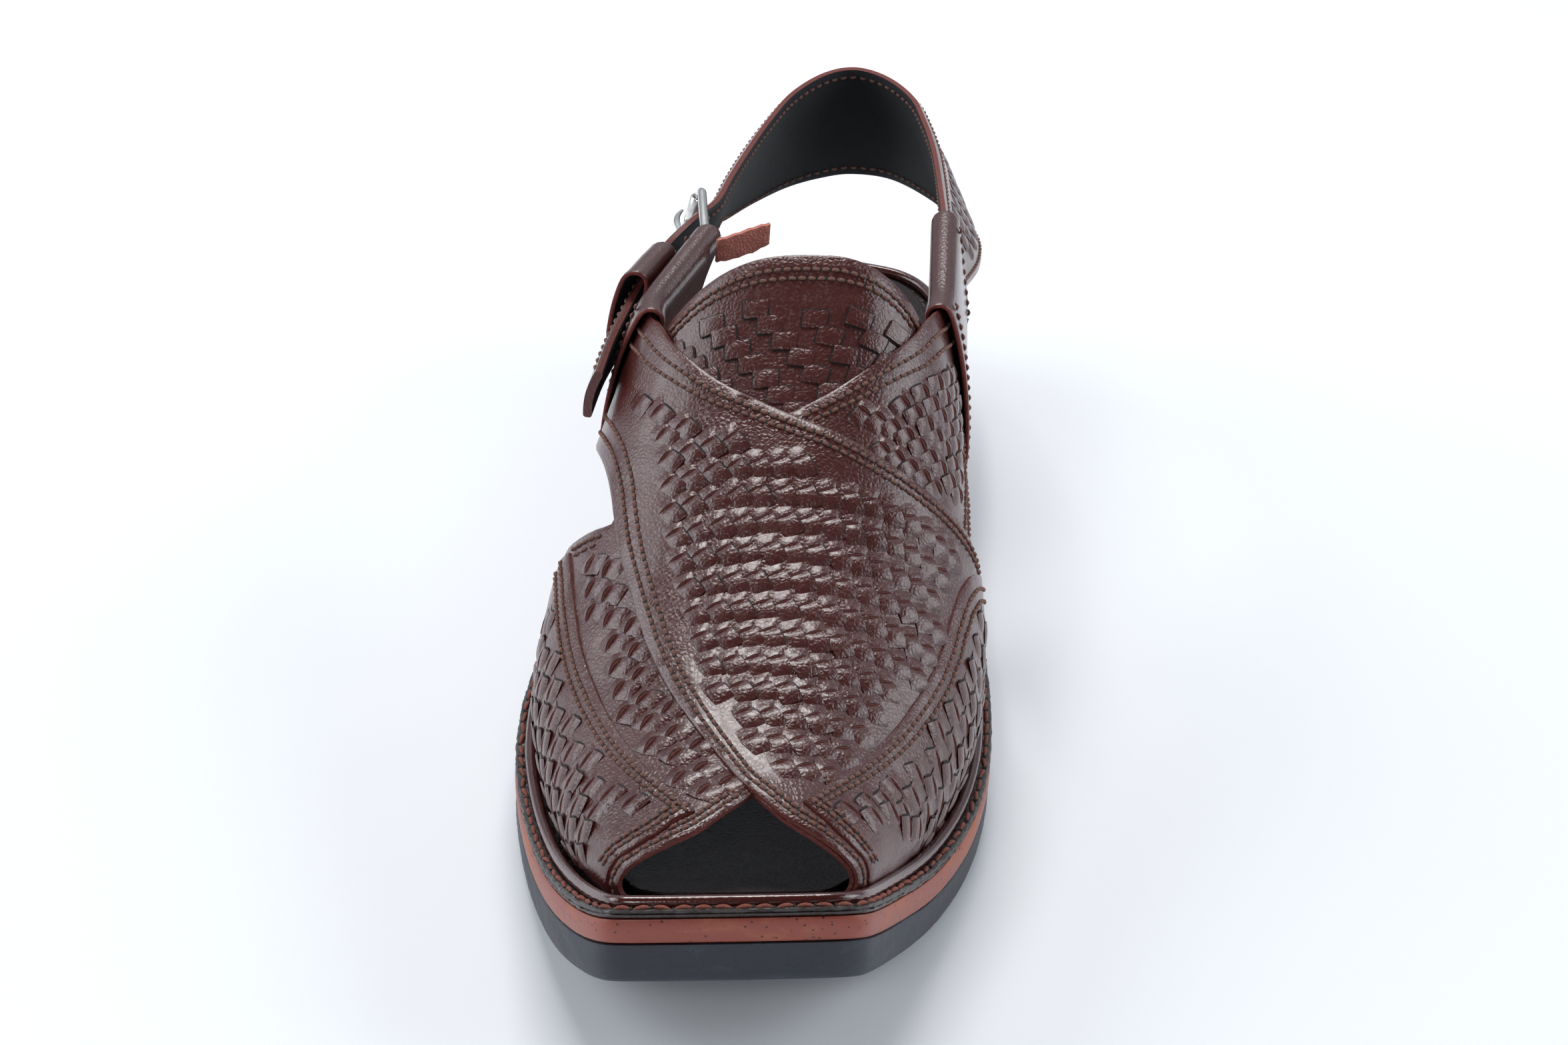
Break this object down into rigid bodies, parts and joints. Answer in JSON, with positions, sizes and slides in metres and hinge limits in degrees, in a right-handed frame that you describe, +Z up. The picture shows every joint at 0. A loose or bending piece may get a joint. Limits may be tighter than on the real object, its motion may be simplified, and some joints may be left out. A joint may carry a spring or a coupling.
{
  "type": "peshawari chappal",
  "caption": "Open-heeled leather sandal: crossed woven straps over a last-shaped forefoot, woven heel strap with roller buckle, layered sole.",
  "frame": {"origin": "under the sole on the floor plane, midway between the heel end and the toe end on the sole's centre line", "axes": "+Y towards the heel, -Y towards the toe, +Z up, +X towards the foot's inner side"},
  "size_m": [0.1086, 0.3049, 0.1095],
  "materials": {
    "outsole_rubber": "blue-black cellular rubber with scuffs",
    "midsole_brick": "brick-orange sole layer with dark specks",
    "welt_black": "black welt with a rough trimmed edge",
    "bead_leather": "glossy dark brown rolled edge",
    "insole_leather": "glossy black insole cover",
    "upper_leather": "dark reddish-brown leather, semi-gloss, woven",
    "raw_suede": "raw pink-brown flesh side",
    "nickel": "nickel plate"
  },
  "bodies": {
    "root": {"outsole": "outsole_rubber", "midsole": "midsole_brick", "welt": "welt_black", "rand_bead": "bead_leather", "insole": "insole_leather", "upper": "upper_leather", "tongue": "upper_leather", "sleeve_l": "upper_leather", "sleeve_r": "upper_leather", "heel_strap": "upper_leather", "keeper": "upper_leather", "chape_tab": "raw_suede", "buckle_frame": "nickel", "buckle_roller": "nickel", "buckle_prong": "nickel"}
  },
  "joints": []
}
